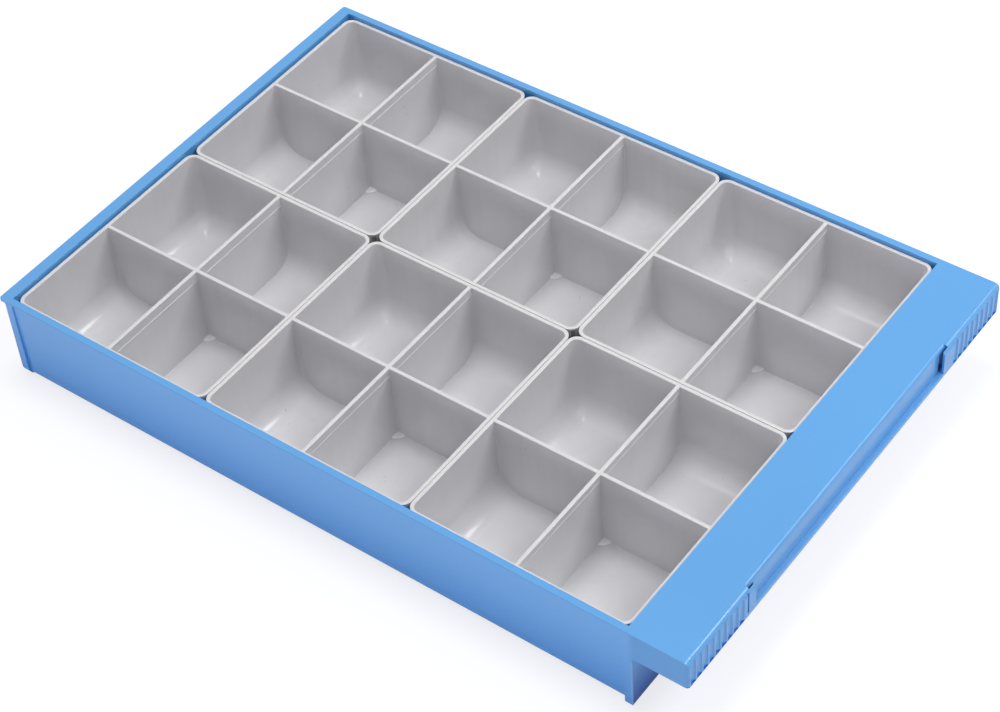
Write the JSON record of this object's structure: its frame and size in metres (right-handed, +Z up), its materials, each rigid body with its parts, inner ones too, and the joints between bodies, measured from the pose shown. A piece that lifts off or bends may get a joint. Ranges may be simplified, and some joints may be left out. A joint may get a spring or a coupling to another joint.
{
  "type": "drawer tray with insert boxes",
  "caption": "Shallow plastic drawer tray with a hollow pull handle and label channel, filled with lift-out boxes that cross dividers split into small compartments.",
  "frame": {"origin": "centre of the footprint, on the surface the tray stands on", "axes": "+X to the right and +Y to the rear as seen by someone facing the handle, which is at -Y; +Z up"},
  "size_m": [0.3, 0.446, 0.0578],
  "materials": {
    "blue_plastic": "satin moulded polystyrene, mid blue",
    "grey_plastic": "satin moulded polystyrene, light grey"
  },
  "bodies": {
    "tray": {"tray": "blue_plastic"},
    "box_front_left": {"box_front_left": "grey_plastic"},
    "box_middle_left": {"box_middle_left": "grey_plastic"},
    "box_rear_left": {"box_rear_left": "grey_plastic"},
    "box_front_right": {"box_front_right": "grey_plastic"},
    "box_middle_right": {"box_middle_right": "grey_plastic"},
    "box_rear_right": {"box_rear_right": "grey_plastic"}
  },
  "joints": [
    {"name": "box_front_left_lift", "type": "slide", "parent": "tray", "child": "box_front_left", "axis": [0, 0, 1], "range_m": [0, 0.065]},
    {"name": "box_middle_left_lift", "type": "slide", "parent": "tray", "child": "box_middle_left", "axis": [0, 0, 1], "range_m": [0, 0.065]},
    {"name": "box_rear_left_lift", "type": "slide", "parent": "tray", "child": "box_rear_left", "axis": [0, 0, 1], "range_m": [0, 0.065]},
    {"name": "box_front_right_lift", "type": "slide", "parent": "tray", "child": "box_front_right", "axis": [0, 0, 1], "range_m": [0, 0.065]},
    {"name": "box_middle_right_lift", "type": "slide", "parent": "tray", "child": "box_middle_right", "axis": [0, 0, 1], "range_m": [0, 0.065]},
    {"name": "box_rear_right_lift", "type": "slide", "parent": "tray", "child": "box_rear_right", "axis": [0, 0, 1], "range_m": [0, 0.065]}
  ]
}
